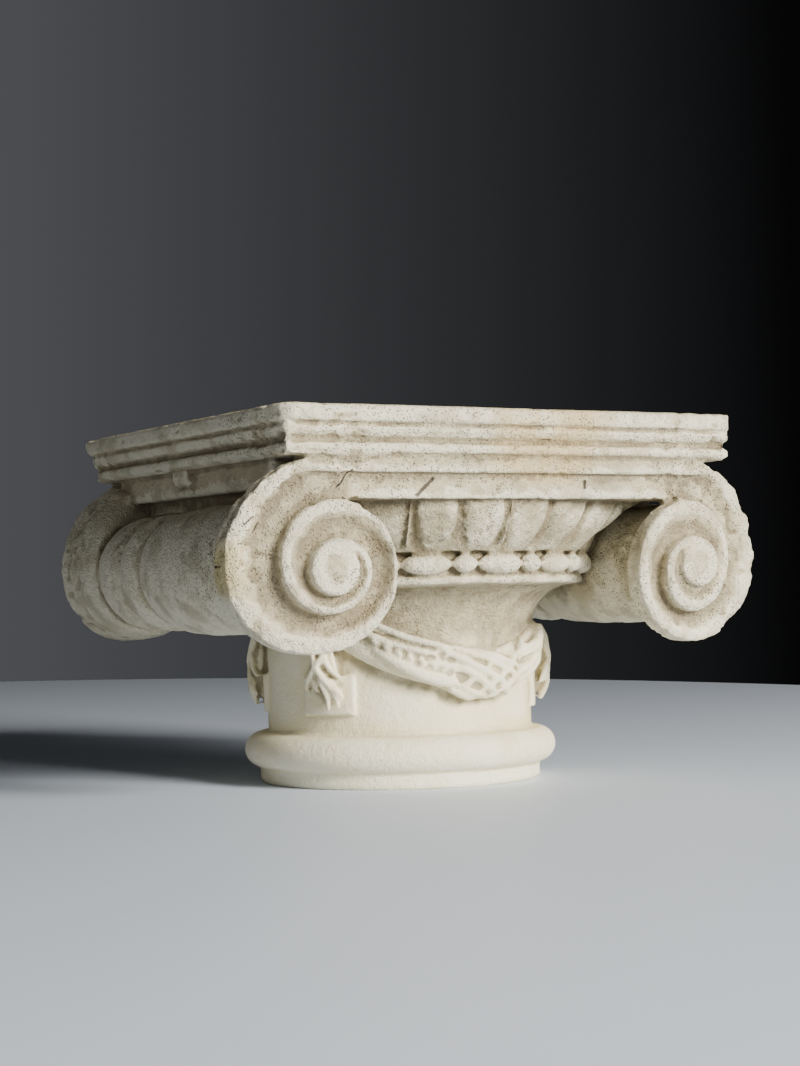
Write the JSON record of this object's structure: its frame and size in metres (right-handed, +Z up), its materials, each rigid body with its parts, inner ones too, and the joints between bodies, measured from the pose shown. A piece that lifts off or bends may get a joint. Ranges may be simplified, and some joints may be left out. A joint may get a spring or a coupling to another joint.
{
  "type": "ionic capital",
  "caption": "Small cast ionic capital with a moulded square abacus, volutes joined by bolsters, egg and bead bands, a garlanded neck and a round foot.",
  "frame": {"origin": "centre of the round foot, on the surface it stands on", "axes": "+Z up through the abacus, +X along the front face, front towards -Y, bolsters along Y"},
  "size_m": [0.2346, 0.1984, 0.1425],
  "materials": {
    "plaster": "matt cream-white cast plaster, worn and grimy in its hollows"
  },
  "bodies": {
    "root": {"capital": "plaster"}
  },
  "joints": []
}
